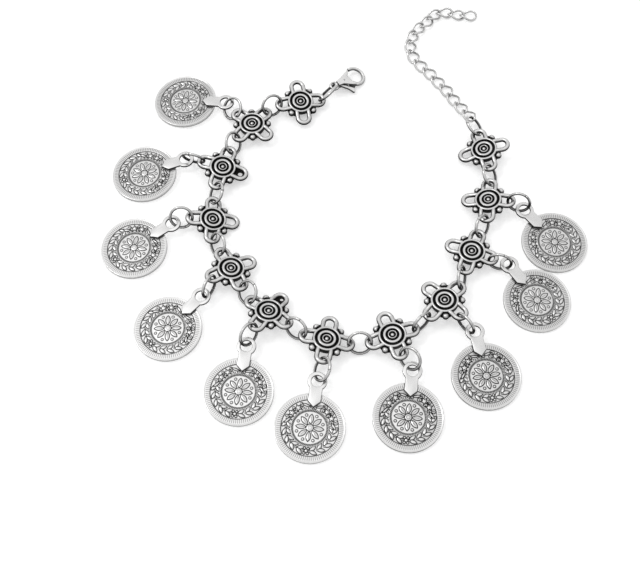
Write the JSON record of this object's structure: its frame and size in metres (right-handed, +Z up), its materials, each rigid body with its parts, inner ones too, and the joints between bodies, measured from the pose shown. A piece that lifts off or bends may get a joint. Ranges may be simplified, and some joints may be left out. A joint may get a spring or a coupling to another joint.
{
  "type": "anklet",
  "caption": "Ankle chain of round cast connectors with struck coin drops, a sprung hook clasp and an extender chain.",
  "frame": {"origin": "middle of the bounding box, on the table that the piece lies on", "axes": "+Z up; +Y from the coins at the front of the curve towards the open ends; +X towards the extender chain's side"},
  "size_m": [0.1254, 0.1374, 0.0074],
  "materials": {
    "coin_metal": "antique silver plating, satin, dark in the low lines",
    "connector_metal": "antique silver plating, bright high edges, black in the grooves",
    "ring_metal": "bright silver plating, smooth wire",
    "clasp_metal": "bright silver plating, smooth",
    "chain_metal": "bright silver plating, smooth wire"
  },
  "bodies": {
    "anklet": {"connector_1": "connector_metal", "connector_2": "connector_metal", "connector_3": "connector_metal", "connector_4": "connector_metal", "connector_5": "connector_metal", "connector_6": "connector_metal", "connector_7": "connector_metal", "connector_8": "connector_metal", "connector_9": "connector_metal", "connector_10": "connector_metal", "connector_11": "connector_metal", "connector_12": "connector_metal", "coin_drop_1": "coin_metal", "coin_drop_2": "coin_metal", "coin_drop_3": "coin_metal", "coin_drop_4": "coin_metal", "coin_drop_5": "coin_metal", "coin_drop_6": "coin_metal", "coin_drop_7": "coin_metal", "coin_drop_8": "coin_metal", "coin_drop_9": "coin_metal", "coin_drop_10": "coin_metal", "jump_ring_1": "ring_metal", "jump_ring_2": "ring_metal", "jump_ring_3": "ring_metal", "jump_ring_4": "ring_metal", "jump_ring_5": "ring_metal", "jump_ring_6": "ring_metal", "jump_ring_7": "ring_metal", "jump_ring_8": "ring_metal", "jump_ring_9": "ring_metal", "jump_ring_10": "ring_metal", "jump_ring_11": "ring_metal", "coin_ring_1": "ring_metal", "coin_ring_2": "ring_metal", "coin_ring_3": "ring_metal", "coin_ring_4": "ring_metal", "coin_ring_5": "ring_metal", "coin_ring_6": "ring_metal", "coin_ring_7": "ring_metal", "coin_ring_8": "ring_metal", "coin_ring_9": "ring_metal", "coin_ring_10": "ring_metal", "clasp_ring": "ring_metal", "chain_ring": "ring_metal", "clasp_body": "clasp_metal", "extender_chain": "chain_metal"},
    "clasp_lever": {"clasp_lever": "clasp_metal"}
  },
  "joints": [
    {"name": "lever_pivot", "type": "hinge", "parent": "anklet", "child": "clasp_lever", "pos_m": [0.00008, 0.04062, 0.00217], "axis": [-0.2867, 0.0487, -0.9568], "range_deg": [0, 18], "stiffness_Nm_per_rad": 0.006, "springref_deg": -20.05}
  ]
}
